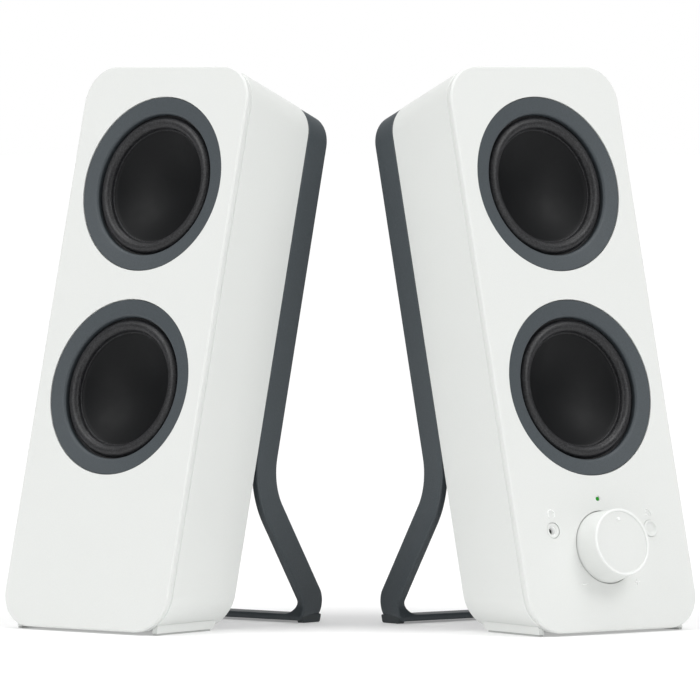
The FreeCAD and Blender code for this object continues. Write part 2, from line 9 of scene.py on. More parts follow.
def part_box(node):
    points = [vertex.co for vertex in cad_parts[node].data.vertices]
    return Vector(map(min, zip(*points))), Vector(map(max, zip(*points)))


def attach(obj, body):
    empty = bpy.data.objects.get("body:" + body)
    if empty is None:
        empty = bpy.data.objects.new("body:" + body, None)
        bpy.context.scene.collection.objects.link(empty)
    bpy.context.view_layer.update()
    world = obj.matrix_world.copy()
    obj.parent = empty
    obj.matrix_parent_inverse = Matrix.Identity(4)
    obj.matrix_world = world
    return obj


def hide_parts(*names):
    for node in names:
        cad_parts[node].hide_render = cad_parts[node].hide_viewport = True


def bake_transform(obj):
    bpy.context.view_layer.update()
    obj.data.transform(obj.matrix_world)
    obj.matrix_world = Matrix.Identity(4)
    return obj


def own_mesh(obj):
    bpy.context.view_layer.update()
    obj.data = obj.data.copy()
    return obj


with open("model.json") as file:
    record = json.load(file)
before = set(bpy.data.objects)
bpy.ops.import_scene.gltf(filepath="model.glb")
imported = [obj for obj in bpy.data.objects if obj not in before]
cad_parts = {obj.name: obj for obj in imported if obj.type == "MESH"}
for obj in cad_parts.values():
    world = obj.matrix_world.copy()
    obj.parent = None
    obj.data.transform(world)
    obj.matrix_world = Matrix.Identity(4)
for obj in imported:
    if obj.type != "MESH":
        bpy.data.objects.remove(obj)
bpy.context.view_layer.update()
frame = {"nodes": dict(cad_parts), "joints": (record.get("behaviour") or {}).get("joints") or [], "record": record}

MM = 0.001

# ---- the cabinet's driving dimensions, in millimetres, as the CAD has them -----------------------

FACE_WIDTH = 92.4
FACE_HEIGHT = 247.1
CORNER_RADIUS = 16.0
TAPER = 0.098
CORNER_TAPER = 0.03
HEEL_TAPER = 0.02
UNDERSIDE_RISE = 0.2421
WALL = 2.5
PANEL_DEPTH = 4.5
SEAM_FRONT = 3.5
SHELL_FRONT = 3.75
SHELL_BACK = 49.1
COVER_FRONT = 46.3
UPPER_Z = 195.0
LOWER_Z = 105.8
MAGNET_DEPTH = 25.525
TRIM_RADIUS = 38.2
EAR_OFFSET = 29.0
KNOB_Z = 36.25
KNOB_LENGTH = 11.9
BUTTON = (26.4, 43.5)
JACK = (-27.0, 44.4)
LED_Z = 57.3
SOCKET_Z = 50.0
AUX_X = -15.0
SATELLITE_X = 15.0
PILLARS = [(33.0, 66.0), (33.0, 151.0), (31.0, 233.0), (31.0, 24.0)]
LUG_PILLARS = PILLARS[1:3]
LUG_BACK = 52.1
MARK_RISE = 7.1           # from the centre of a control to its mark
FIT = 0.15                # space between the shell and the panel or cover inside it
FRONT_ROUND = 1.1         # radius of the panel's front edge
CORNER_STEPS = 14         # facets of each corner of the cabinet's outline


def cabinet_frame(side):
    """The matrix from a cabinet's own frame to the row frame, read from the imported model."""
    stroke = next(j for j in frame["joints"] if j["name"] == side + "_driver_stroke")
    back = -Vector(stroke["axis"])
    across = back.cross(Vector((0, 0, 1))).normalized()
    up = across.cross(back)
    low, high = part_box(side + "_driver_magnet")
    origin = (low + high) / 2 - (back * MAGNET_DEPTH + up * UPPER_Z) * MM
    matrix = Matrix((across, back, up)).transposed().to_4x4()
    matrix.translation = origin
    return matrix


# ---- materials -----------------------------------------------------------------------------------

class Finish:
    """A material whose nodes are made with short calls. Sizes are in millimetres."""

    def __init__(self, name, color, roughness, **sockets):
        self.material = bpy.data.materials.new(name)
        self.material.use_nodes = True
        self.material.diffuse_color = (*color, 1)
        self.tree = self.material.node_tree
        self.shader = self.tree.nodes["Principled BSDF"]
        self.color = color
        self.shader.inputs["Base Color"].default_value = (*color, 1)
        self.shader.inputs["Roughness"].default_value = roughness
        for socket, value in sockets.items():
            self.shader.inputs[socket.replace("_", " ")].default_value = value
        self.place = self.add("ShaderNodeTexCoord").outputs["Object"]

    def add(self, kind, inputs=None, **settings):
        node = self.tree.nodes.new(kind)
        for key, value in settings.items():
            setattr(node, key, value)
        for key, value in (inputs or {}).items():
            if isinstance(value, bpy.types.NodeSocket):
                self.tree.links.new(value, node.inputs[key])
            else:
                node.inputs[key].default_value = value
        return node

    def noise(self, size, detail=2.0, place=None):
        """Noise whose lumps are about a size in millimetres."""
        inputs = {"Vector": place or self.place, "Scale": 1 / (size * MM), "Detail": detail}
        return self.add("ShaderNodeTexNoise", inputs).outputs["Fac"]

    def span(self, value, low, high, start=0.3, end=0.7):
        """Maps a value between start and end to between low and high."""
        node = self.add("ShaderNodeMapRange", {
            "Value": value, "From Min": start, "From Max": end, "To Min": low, "To Max": high})
        return node.outputs["Result"]

    def math(self, operation, a, b=0.0):
        return self.add("ShaderNodeMath", {0: a, 1: b}, operation=operation).outputs[0]

    def mix(self, share, a, b):
        node = self.add("ShaderNodeMix", {0: share}, data_type="RGBA")
        for socket, value in ((node.inputs[6], a), (node.inputs[7], b)):
            if isinstance(value, bpy.types.NodeSocket):
                self.tree.links.new(value, socket)
            else:
                socket.default_value = (*value, 1)
        return node.outputs[2]

    def drive(self, socket, value):
        self.tree.links.new(value, self.shader.inputs[socket])
        return self

    def bump(self, height, distance):
        """Adds relief whose full height is a distance in millimetres."""
        last = self.shader.inputs["Normal"].links
        inputs = {"Height": height, "Distance": distance * MM, "Strength": 1.0}
        if last:
            inputs["Normal"] = last[0].from_socket
        return self.drive("Normal", self.add("ShaderNodeBump", inputs).outputs["Normal"])

    def shade(self, share, color):
        """Mixes a second colour in by a share."""
        last = self.shader.inputs["Base Color"].links
        base = last[0].from_socket if last else self.color
        return self.drive("Base Color", self.mix(share, base, color))


def tone(color, factor):
    return tuple(min(1.0, c * factor) for c in color)


def moulded(name, color, roughness, grain=0.45, relief=0.012, contrast=0.05, **sockets):
    """Spark-eroded moulded plastic: fine even grain, slow drift of tone and sheen."""
    f = Finish(name, color, roughness, **sockets)
    coarse = f.noise(grain, 3.0)
    fine = f.noise(grain * 0.4, 1.0)
    height = f.math("ADD", coarse, f.math("MULTIPLY", fine, 0.5))
    f.bump(height, relief)
    f.shade(f.span(coarse, 0.0, 1.0), tone(color, 1 - contrast))
    f.shade(f.span(f.noise(38, 2.0), 0.0, 0.5), tone(color, 1 - contrast * 0.5))
    wear = f.math("ADD", f.noise(24, 3.0), f.math("MULTIPLY", fine, 0.4))
    f.drive("Roughness", f.span(wear, roughness - 0.05, roughness + 0.07, 0.4, 1.0))
    return f.material


WHITE = (0.742, 0.757, 0.739)
SLATE = (0.060, 0.073, 0.082)
# A lighter white than WHITE: painted highlight on the knob's bead and the marks, painted light on the jack's bush.
PAINTED_LIGHT_WHITE = (0.86, 0.87, 0.86)

white = moulded("white_plastic", WHITE, 0.44, grain=0.5, relief=0.010, contrast=0.035)
slate = moulded("slate_plastic", SLATE, 0.48, grain=0.55, relief=0.020, contrast=0.30,
                Specular_IOR_Level=0.42)
# Glossy white for the knob's bead and the marks: its low roughness is real gloss, its lighter colour is painted
# highlight.
glossy_painted_highlight = moulded("glossy_painted_highlight_white", PAINTED_LIGHT_WHITE, 0.24, grain=0.5, relief=0.003, contrast=0.02)
# The jack's bush is lighter and glows: painted light on the inner wall of the headphone hole.
bush_painted_glow = moulded("bush_painted_glow", PAINTED_LIGHT_WHITE, 0.40, grain=0.4, relief=0.006, contrast=0.03,
                     Emission_Color=(1, 1, 1, 1), Emission_Strength=0.20)
black = moulded("black_plastic", (0.018, 0.019, 0.020), 0.42, grain=0.4, relief=0.012, contrast=0.2)
foot_rubber = moulded("foot_rubber", (0.045, 0.053, 0.058), 0.60, grain=0.35, relief=0.02,
                      contrast=0.25)
pale_rubber = moulded("pale_rubber", (0.50, 0.51, 0.50), 0.65, grain=0.35, relief=0.03,
                      contrast=0.15)


def make_surround():
    f = Finish("surround_rubber", (0.007, 0.007, 0.008), 0.40, Specular_IOR_Level=0.38)
    grain = f.noise(0.62, 3.0)
    f.bump(grain, 0.09)
    f.bump(f.noise(0.22, 2.0), 0.014)
    f.shade(f.span(grain, 0.0, 1.0, 0.42, 0.72), (0.034, 0.035, 0.038))
    f.drive("Roughness", f.span(f.noise(5.0, 2.0), 0.32, 0.46))
    return f.material


def make_cone():
    f = Finish("cone_black", (0.0040, 0.0043, 0.0048), 0.48, Specular_IOR_Level=0.15)
    pulp = f.noise(0.5, 4.0)
    f.bump(pulp, 0.008)
    f.shade(f.span(pulp, 0.0, 1.0), (0.0058, 0.0062, 0.0070))
    f.drive("Roughness", f.span(f.noise(9.0, 2.0), 0.44, 0.52))
    return f.material


surround_rubber = make_surround()
cone_black = make_cone()


def make_metal(name, color, roughness, streak):
    f = Finish(name, color, roughness, Metallic=1.0)
    stretched = f.add("ShaderNodeMapping", {"Vector": f.place, "Scale": streak}).outputs[0]
    lines = f.noise(0.25, 2.0, stretched)
    f.bump(lines, 0.006)
    f.shade(f.span(lines, 0.0, 0.6), tone(color, 0.75))
    f.drive("Roughness", f.span(f.noise(6.0, 3.0), roughness - 0.06, roughness + 0.12))
    return f.material


steel = make_metal("plated_steel", (0.60, 0.60, 0.58), 0.32, (1, 1, 0.08))
screw_steel = make_metal("screw_steel", (0.055, 0.055, 0.060), 0.34, (1, 0.2, 1))


def make_ferrite():
    f = Finish("ferrite", (0.045, 0.046, 0.050), 0.55, Metallic=0.35)
    pits = f.noise(0.9, 5.0)
    f.bump(pits, 0.05)
    f.shade(f.span(pits, 0.0, 0.7), (0.09, 0.09, 0.095))
    return f.material


def make_copper():
    f = Finish("copper", (0.70, 0.30, 0.12), 0.30, Metallic=1.0)
    turns = f.add("ShaderNodeTexWave", {"Vector": f.place, "Scale": 700.0, "Distortion": 0.4})
    f.bump(turns.outputs["Fac"], 0.05)
    f.shade(f.span(turns.outputs["Fac"], 0.0, 0.6), (0.42, 0.15, 0.06))
    return f.material


def make_spider():
    f = Finish("spider_cloth", (0.50, 0.37, 0.15), 0.8)
    threads = {"Vector": f.place, "Scale": 900.0}
    warp = f.add("ShaderNodeTexWave", threads, bands_direction="X").outputs["Fac"]
    weft = f.add("ShaderNodeTexWave", threads, bands_direction="Z").outputs["Fac"]
    weave = f.math("MAXIMUM", warp, weft)
    f.bump(weave, 0.08)
    f.shade(f.span(weave, 0.0, 0.6), (0.36, 0.25, 0.09))
    return f.material


def make_board():
    f = Finish("circuit_board", (0.018, 0.14, 0.06), 0.35)
    cells = f.add("ShaderNodeTexVoronoi", {"Vector": f.place, "Scale": 420.0}, distance="MANHATTAN")
    tracks = f.span(cells.outputs["Distance"], 1.0, 0.0, 0.12, 0.2)
    f.bump(tracks, 0.03)
    f.shade(tracks, (0.05, 0.26, 0.12))
    return f.material


def make_lens():
    f = Finish("green_lens", (0.010, 0.24, 0.010), 0.30, Emission_Strength=0.12,
               Specular_IOR_Level=0.2)
    glow = f.mix(f.span(f.noise(0.5, 2.0), 0.0, 1.0), (0.01, 0.34, 0.02), (0.03, 0.50, 0.04))
    f.drive("Emission Color", glow)
    f.bump(f.noise(0.3), 0.005)
    return f.material


ferrite = make_ferrite()
copper = make_copper()
spider_cloth = make_spider()
board = make_board()
lens = make_lens()

FINISHES = {
    "white_plastic": white, "slate_plastic": slate, "black_plastic": black,
    "foot_rubber": foot_rubber, "pale_rubber": pale_rubber, "surround_rubber": surround_rubber,
    "cone_black": cone_black, "spider_cloth": spider_cloth, "copper": copper, "ferrite": ferrite,
    "plated_steel": steel, "screw_steel": screw_steel, "green_lens": lens, "circuit_board": board,
}


# ---- mesh helpers --------------------------------------------------------------------------------

def rounded(corners, steps=6, closed=False):
    """Points of a line through (a, b[, radius]) corners, each rounded by its own radius."""
    points = []
    count = len(corners)
    for i, corner in enumerate(corners):
        here = Vector(corner[:2])
        radius = corner[2] if len(corner) > 2 else 0.0
        if radius <= 0 or (not closed and i in (0, count - 1)):
            points.append(here)
            continue
        before = (Vector(corners[i - 1][:2]) - here).normalized()
        after = (Vector(corners[(i + 1) % count][:2]) - here).normalized()
        half = before.angle(after) / 2
        centre = here + (before + after).normalized() * (radius / math.sin(half))
        start = here + before * (radius / math.tan(half)) - centre
        end = here + after * (radius / math.tan(half)) - centre
        sweep = start.angle(end)
        if start.x * end.y - start.y * end.x < 0:
            sweep = -sweep
        for k in range(steps + 1):
            points.append(centre + Matrix.Rotation(sweep * k / steps, 2) @ start)
    return points


def finished(name, bm, sharp=35.0):
    """A mesh from a bmesh, in metres, smooth except at sharp edges."""
    bmesh.ops.recalc_face_normals(bm, faces=bm.faces)
    mesh = bpy.data.meshes.new(name)
    bm.to_mesh(mesh)
    bm.free()
    mesh.transform(Matrix.Scale(MM, 4))
    mesh.shade_smooth()
    mesh.set_sharp_from_angle(angle=math.radians(sharp))
    return mesh


def lathe(bm, profile, segments=96, at=(0.0, 0.0), closed=False, steps=6):
    """Adds a turned form about a depth-wise axis, from (radius, depth[, corner radius]) corners."""
    rings = []
    for radius, depth in rounded(profile, steps, closed):
        if radius < 1e-6:
            rings.append([bm.verts.new((at[0], depth, at[1]))])
            continue
        turn = [math.tau * i / segments for i in range(segments)]
        spots = [(at[0] + radius * math.sin(t), depth, at[1] + radius * math.cos(t)) for t in turn]
        rings.append([bm.verts.new(spot) for spot in spots])
    pairs = list(zip(rings, rings[1:]))
    if closed:
        pairs.append((rings[-1], rings[0]))
    for a, b in pairs:
        for i in range(segments):
            j = (i + 1) % segments
            if len(a) == 1 and len(b) > 1:
                bm.faces.new((a[0], b[i], b[j]))
            elif len(b) == 1 and len(a) > 1:
                bm.faces.new((a[i], b[0], a[j]))
            elif len(a) > 1:
                bm.faces.new((a[i], b[i], b[j], a[j]))
    return bm


def section(depth, inset):
    """The cabinet's outline at a depth, drawn in by an inset, as (across, depth, up) points."""
    half = FACE_WIDTH / 2 - TAPER * depth - inset
    top = FACE_HEIGHT - TAPER * depth - inset
    bottom = UNDERSIDE_RISE * depth + inset
    low = max(0.3, CORNER_RADIUS - HEEL_TAPER * depth - inset)
    high = max(0.3, CORNER_RADIUS - CORNER_TAPER * depth - inset)
    corners = [(-half, bottom, low), (half, bottom, low), (half, top, high), (-half, top, high)]
    return [(p.x, depth, p.y) for p in rounded(corners, CORNER_STEPS, True)]


def loft(bm, path, closed=False, outline=section):
    """Adds a skin through outlines at (depth, inset) stations, capped unless it is closed."""
    rings = [[bm.verts.new(p) for p in outline(depth, inset)] for depth, inset in path]
    pairs = list(zip(rings, rings[1:]))
    if closed:
        pairs.append((rings[-1], rings[0]))
    for a, b in pairs:
        for i in range(len(a)):
            j = (i + 1) % len(a)
            bm.faces.new((a[i], b[i], b[j], a[j]))
    if not closed:
        bm.faces.new(rings[0])
        bm.faces.new(list(reversed(rings[-1])))
    return bm


def tool(bm):
    """An object, removed once used, that cuts or adds to another."""
    made = bpy.data.objects.new("tool", finished("tool", bm))
    bpy.context.scene.collection.objects.link(made)
    return made


def rod(radius, front, back, x=0.0, z=0.0, segments=64):
    profile = [(0, front), (radius, front), (radius, back), (0, back)]
    return tool(lathe(bmesh.new(), profile, segments, (x, z)))


def carved(mesh, adds, cuts, bevel):
    """The mesh with tools added and cut, and its new edges softened."""
    work = bpy.data.objects.new("work", mesh)
    bpy.context.scene.collection.objects.link(work)
    for operation, tools in (("UNION", adds), ("DIFFERENCE", cuts)):
        for t in tools:
            m = work.modifiers.new("cut", "BOOLEAN")
            m.operation, m.solver, m.object = operation, "EXACT", t
    soften(work, bevel)
    view = bpy.context.evaluated_depsgraph_get()
    result = bpy.data.meshes.new_from_object(work.evaluated_get(view))
    for o in [work] + adds + cuts:
        bpy.data.objects.remove(o)
    result.shade_smooth()
    result.set_sharp_from_angle(angle=math.radians(40))
    return result


def soften(obj, width):
    """Puts a small round on sharp edges, in millimetres."""
    m = obj.modifiers.new("soften", "BEVEL")
    m.width, m.segments = width * MM, 2
    m.limit_method, m.angle_limit = "ANGLE", math.radians(50)
    m.use_clamp_overlap = True


def piece(name, mesh, place, body, slot, *nodes, finish=None, toward=None):
    """Puts a finished mesh in the scene, riding on a CAD body and standing for its CAD nodes.
    With toward, its transform is baked in place and it rides on no body; the (body, start depth, end depth) in
    toward are not used."""
    mesh.transform(place)
    made = bpy.data.objects.new(name, mesh)
    bpy.context.scene.collection.objects.link(made)
    mesh.materials.clear()
    mesh.materials.append(finish or FINISHES[slot])
    if toward:
        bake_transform(made)
    else:
        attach(made, body)
    if nodes:
        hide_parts(*nodes)
    m = made.modifiers.new("normals", "WEIGHTED_NORMAL")
    m.keep_sharp = True
    return made


def at(place, x, z):
    """A place whose origin is shifted across and up the face."""
    return place @ Matrix.Translation((x * MM, 0, z * MM))


def mirrored(places):
    return [(side * x, z) for x, z in places for side in (-1, 1)]


# ---- cabinet -------------------------------------------------------------------------------------

def edge(depth, inset, radius, start, end, steps=5):
    """Stations of a rounded rim: an arc from start to end degrees about (depth, inset)."""
    found = []
    for k in range(steps + 1):
        a = math.radians(start + (end - start) * k / steps)
        found.append((depth - radius * math.cos(a), inset - radius * math.sin(a)))
    return found


def front_panel(side):
    """The panel, with its screw pillars, its driver openings and the right one's control holes."""
    lip = WALL + FIT
    path = edge(FRONT_ROUND, FRONT_ROUND, FRONT_ROUND, 0, 90, 7)
    path += edge(SEAM_FRONT - 0.15, 0.55, 0.15, 90, 180, 3)
    path += [(SEAM_FRONT, lip), (8.0, lip), (8.0, lip + 1.5), (PANEL_DEPTH, lip + 1.5)]
    mesh = finished("front_panel", loft(bmesh.new(), path))
    adds = [rod(3.0, PANEL_DEPTH - 0.5, COVER_FRONT - FIT, x, z, 32) for x, z in mirrored(PILLARS)]
    ears = (-EAR_OFFSET, EAR_OFFSET)
    cuts = []
    for z in (UPPER_Z, LOWER_Z):
        cuts.append(rod(TRIM_RADIUS + 0.26, -1, 2.65, 0, z, 192))
        cuts.append(rod(33.65, 2, 5, 0, z, 96))
        cuts += [rod(1.3, 1.4, 5, x, z + up, 24) for x in ears for up in ears]
    if side == "right":
        cuts.append(rod(15.9, -1, 1.5, 0, KNOB_Z, 160))
        cuts.append(rod(3.6, 0, 5, 0, KNOB_Z, 48))
        cuts.append(rod(3.5, -1, 5, *JACK, 72))
        cuts.append(rod(3.75, -1, 5, *BUTTON, 72))
        cuts.append(rod(0.95, -1, 5, 0, LED_Z, 32))
        cuts.append(rod(1.35, -1, 0.3, 0, LED_Z, 40))
    return carved(mesh, adds, cuts, 0.16)


def cabinet_shell():
    """The tapered tube. Its front edge is rounded, and a tongue behind the seam meets the panel."""
    tongue = SEAM_FRONT + 0.02
    path = [(tongue, WALL), (tongue, 0.43)]
    path += edge(SHELL_FRONT + 0.6, 0.6, 0.6, 17, 90, 6)
    path += [(14.0, 0.0), (26.0, 0.0), (38.0, 0.0)]
    path += edge(SHELL_BACK - 0.7, 0.7, 0.7, 90, 180, 6)
    path += [(SHELL_BACK, WALL - 0.2), (SHELL_BACK - 0.2, WALL)]
    path += [(46.2, WALL), (46.2, 4.6), (43.7, 4.6), (43.7, WALL), (24.0, WALL)]
    return finished("cabinet_shell", loft(bmesh.new(), path, closed=True), 40)


def rear_cover(side):
    """The cover, with a shallow pocket, its screw holes and the holes of its side's sockets."""
    inset = WALL + FIT
    path = [(COVER_FRONT, inset + 0.3), (COVER_FRONT + 0.3, inset)]
    path += edge(SHELL_BACK - 0.5, inset + 0.5, 0.5, 90, 180, 4)
    mesh = finished("rear_cover", loft(bmesh.new(), path))
    half, low, high, bend = 29.4, 80.0, 225.0, 0.6
    pocket = [(x, z, bend) for x, z in ((-half, low), (half, low), (half, high), (-half, high))]

    def outline(depth, inset):
        return [(p.x, depth, p.y) for p in rounded(pocket, 4, True)]

    before, behind = COVER_FRONT - 1, SHELL_BACK + 1
    cuts = [tool(loft(bmesh.new(), [(SHELL_BACK - 0.8, 0), (behind, 0)], outline=outline))]
    cuts += [rod(1.7, before, behind, x, z, 32) for x, z in mirrored(PILLARS)]
    if side == "right":
        holes = ((AUX_X, 3.35), (0, 5.35), (SATELLITE_X, 5.2))
        cuts += [rod(r, before, behind, x, SOCKET_Z) for x, r in holes]
    else:
        cuts.append(rod(4.6, before, behind, 0, SOCKET_Z))
    return carved(mesh, [], cuts, 0.2)


def recess_slot(head, top, turn):
    """One slot of a cross recess, which narrows as it goes into a screw's head."""
    bm = bmesh.new()
    spin = Matrix.Rotation(turn, 4, "Y")
    rings = []
    for depth, long, wide in ((top + 0.3, 0.62, 0.16), (top - 1.25, 0.22, 0.10)):
        corners = ((-long, -wide), (long, -wide), (long, wide), (-long, wide))
        rings.append([bm.verts.new(spin @ Vector((x * head, depth, z * head))) for x, z in corners])
    bm.faces.new(rings[0])
    bm.faces.new(list(reversed(rings[1])))
    for i in range(4):
        bm.faces.new((rings[0][i], rings[1][i], rings[1][(i + 1) % 4], rings[0][(i + 1) % 4]))
    return tool(bm)


def case_screw(seat):
    """A pan head screw with a cross recess and a coarse thread, made as separate ridges."""
    head, length, pitch = 2.8, 11.0, 1.15
    top = seat + head * 0.62
    profile = [(0, seat - length), (0.5, seat - length)]
    for turn in range(8):
        start = seat - 10.2 + turn * pitch
        profile += [(0.95, start), (1.35, start + 0.45), (1.35, start + 0.6), (0.95, start + 1.05)]
    profile += [(1.3, seat - 0.6), (1.3, seat), (head, seat), (head, top, head * 0.4), (0, top)]
    mesh = finished("case_screw", lathe(bmesh.new(), profile, 48), 40)
    slots = [recess_slot(head, top, turn) for turn in (0.0, math.pi / 2)]
    return carved(mesh, [], slots, 0.0)


def case_screws():
    """Eight screws, of which the four that hold the stand sit further out."""
    bm = bmesh.new()
    for seat in (SHELL_BACK, LUG_BACK):
        screw = case_screw(seat)
        for x, z in mirrored(PILLARS):
            if ((abs(x), z) in LUG_PILLARS) == (seat == LUG_BACK):
                copied = screw.copy()
                copied.transform(Matrix.Translation((x * MM, 0, z * MM)))
                bm.from_mesh(copied)
    mesh = bpy.data.meshes.new("case_screws")
    bm.to_mesh(mesh)
    bm.free()
    mesh.shade_smooth()
    mesh.set_sharp_from_angle(angle=math.radians(40))
    return mesh


# ---- driver, radiator and trim -------------------------------------------------------------------

def trim_ring():
    return finished("trim_ring", lathe(bmesh.new(), [
        (TRIM_RADIUS, 0.25, 0.25), (TRIM_RADIUS, 2.55, 0.1), (33.4, 2.55, 0.1), (33.4, 4.0, 0.1),
        (31.0, 4.0, 0.3), (31.0, 1.0, 1.4),
    ], 224, closed=True), 60)


ROLL_CREST = 1.3          # depth of the half-roll's crest
ROLL_INSIDE = 1.8         # depth of the crest's inner face
ROLL_MIDDLE = 27.5        # radius of the crest
ROLL_LANDING = 4.5        # depth at which the roll meets the cone


def outer_roll():
    """The half-roll from its crest out, with the landing that is held by the frame."""
    return finished("outer_roll", lathe(bmesh.new(), [
        (ROLL_MIDDLE, ROLL_CREST), (30.1, ROLL_CREST, 2.55), (30.1, 4.1, 0.25), (33.2, 4.1),
        (33.2, 4.6), (29.6, 4.6, 0.2), (29.6, ROLL_INSIDE, 2.05), (ROLL_MIDDLE, ROLL_INSIDE),
    ], 192, closed=True, steps=12), 60)


def inner_roll():
    """The half-roll from its crest in to where it meets the cone."""
    return finished("inner_roll", lathe(bmesh.new(), [
        (24.3, ROLL_LANDING, 0.04), (24.9, ROLL_LANDING, 0.25), (24.9, ROLL_CREST, 2.55),
        (ROLL_MIDDLE, ROLL_CREST), (ROLL_MIDDLE, ROLL_INSIDE), (25.4, ROLL_INSIDE, 2.05),
        (25.4, 4.6, 0.2), (24.3, 4.6, 0.04),
    ], 192, closed=True, steps=12), 60)


def spider():
    """The corrugated centring disc."""
    front = [(10.3, 12.9)] + [(12.4 + 1.7 * i, 13.25 if i % 2 else 12.25, 0.25) for i in range(6)]
    front += [(22.4, 13.6, 0.25), (24.6, 13.6)]
    back = [(corner[0], corner[1] + 0.5, *corner[2:]) for corner in reversed(front)]
    return finished("spider", lathe(bmesh.new(), front + back, 96, closed=True, steps=4), 60)


def cone():
    """A one-piece dish, a part of a ball, with a flat rim."""
    rim, dip, skin, face, outer, steps = 24.1, 7.9, 0.5, 4.75, 24.9, 24
    ball = (rim ** 2 + dip ** 2) / (2 * dip)
    radii = [rim * (1 - k / steps) for k in range(steps + 1)]
    front = [(r, face + dip - (ball - math.sqrt(ball ** 2 - r ** 2))) for r in radii]
    back = [(r, y + skin) for r, y in reversed(front)]
    profile = [(outer, face + skin), (outer, face)] + front + back
    return finished("cone", lathe(bmesh.new(), profile, 192), 60)


# ---- controls of the right speaker ---------------------------------------------------------------

def volume_knob():
    """A tapered cup with a sunken front."""
    crown = -KNOB_LENGTH
    return finished("volume_knob", lathe(bmesh.new(), [
        (0, crown + 0.5), (13.1, crown + 0.5, 0.1), (13.2, crown + 0.12, 0.1),
        (14.4, crown + 0.12, 0.1), (15.6, 1.1, 0.3), (13.2, 1.1, 0.2), (12.4, -9.4, 0.4),
        (5.2, -9.4, 0.4), (5.2, 1.0, 0.2), (3.03, 1.0, 0.2), (3.03, -8.6), (0, -8.6),
    ], 192), 40)


def knob_rim():
    """The bead around the knob's front and the dot near its top, half sunk into it."""
    crown = -KNOB_LENGTH
    bead = lathe(bmesh.new(), [
        (13.3, crown, 0.48), (14.47, crown, 0.48), (14.47, crown + 0.9, 0.3),
        (13.3, crown + 0.9, 0.3),
    ], 192, closed=True)
    dot = [(0, crown - 0.1), (0.85, crown - 0.1, 0.5), (0.85, crown + 0.9), (0, crown + 0.9)]
    return finished("knob_rim", lathe(bead, dot, 40, (0, 9.9)), 60)


def pairing_button():
    return finished("pairing_button", lathe(bmesh.new(), [
        (0, 0.45), (2.2, 0.4, 1.3), (2.95, -0.42, 0.3), (3.62, -0.42, 0.32), (3.62, 4.8),
        (4.6, 4.8, 0.15), (4.6, 5.8, 0.15), (1.6, 5.8), (1.6, 12.25, 0.3), (0, 12.25),
    ], 96), 45)


def brick(x, y, z):
    """A box tool from three (low, high) pairs, with softened edges."""
    bm = bmesh.new()
    bmesh.ops.create_cube(bm, size=1.0)
    for v in bm.verts:
        v.co = Vector([low + (high - low) * (c + 0.5) for c, (low, high) in zip(v.co, (x, y, z))])
    bmesh.ops.bevel(bm, geom=bm.edges[:], offset=0.3, segments=2, affect="EDGES")
    return tool(bm)


BORE = 1.8                # radius of a 3.5 mm jack's hole
BUSH = 3.6                # depth of the plain bush in front of a jack's contacts


def headphone_socket():
    mesh = finished("headphone_socket", lathe(bmesh.new(), [
        (0, 5.5), (3.35, 5.5), (3.35, 0.15, 0.35), (0, 0.15),
    ], 96), 40)
    body = brick((-3.9, 3.9), (4.7, 17.4), (-3.9, 3.9))
    funnel = lathe(bmesh.new(), [
        (0, -1), (2.3, -1), (2.3, 0.14), (BORE, 0.55, 0.1), (BORE, BUSH), (2.2, BUSH), (2.2, 15.4),
        (0, 15.4),
    ], 72)
    return carved(mesh, [body], [tool(funnel)], 0.04)


def jack_lining(front, back):
    """The dark sleeve behind a jack's bush, closed at its far end."""
    return finished("jack_lining", lathe(bmesh.new(), [
        (0, back), (2.15, back, 0.2), (2.15, front + 0.02), (1.75, front + 0.02),
        (1.75, back - 0.4), (0, back - 0.4),
    ], 64), 40)


def ring(inner, outer, front, back):
    return finished("ring", lathe(bmesh.new(), [
        (inner, front, 0.08), (outer, front, 0.08), (outer, back, 0.08), (inner, back, 0.08),
    ], 64, closed=True, steps=2), 40)


def light_pipe():
    return finished("light_pipe", lathe(bmesh.new(), [
        (0, 0.02), (0.55, 0.10, 0.6), (0.85, 0.3, 0.2), (0.85, 4.7), (1.7, 4.7), (1.7, 6.0),
        (0.85, 6.0), (0.85, 15.3), (0, 15.3),
    ], 40), 40)


# ---- raised marks beside the controls ------------------------------------------------------------

MARK_PROUD = 0.5          # how far a mark stands out of the face
END_STEPS = 4             # rings of a stroke's round end
STROKE_SIDES = 14


def stroke(points, half_width):
    """A raised line with round ends, half sunk in the face, through (across, up) points."""
    path = [Vector(p) for p in points]
    start = (path[0] - path[1]).normalized()
    end = (path[-1] - path[-2]).normalized()
    stations = []
    for k in range(END_STEPS):
        a = math.pi / 2 * k / END_STEPS
        stations.append((path[0] + start * half_width * math.cos(a), math.sin(a)))
    stations += [(p, 1.0) for p in path]
    for k in reversed(range(END_STEPS)):
        a = math.pi / 2 * k / END_STEPS
        stations.append((path[-1] + end * half_width * math.cos(a), math.sin(a)))
    bm = bmesh.new()
    rings = []
    for i, (here, size) in enumerate(stations):
        if size < 1e-6:
            rings.append([bm.verts.new((here.x, 0, here.y))])
            continue
        after = stations[min(i + 1, len(stations) - 1)][0]
        ahead = (after - stations[max(i - 1, 0)][0]).normalized()
        aside = Vector((-ahead.y, ahead.x))
        around = []
        for j in range(STROKE_SIDES):
            a = math.tau * j / STROKE_SIDES
            spot = here + aside * (half_width * size * math.cos(a))
            around.append(bm.verts.new((spot.x, -MARK_PROUD * size * math.sin(a), spot.y)))
        rings.append(around)
    for a, b in zip(rings, rings[1:]):
        for i in range(STROKE_SIDES):
            j = (i + 1) % STROKE_SIDES
            if len(a) == 1:
                bm.faces.new((a[0], b[i], b[j]))
            elif len(b) == 1:
                bm.faces.new((a[i], b[0], a[j]))
            else:
                bm.faces.new((a[i], b[i], b[j], a[j]))
    return tool(bm)


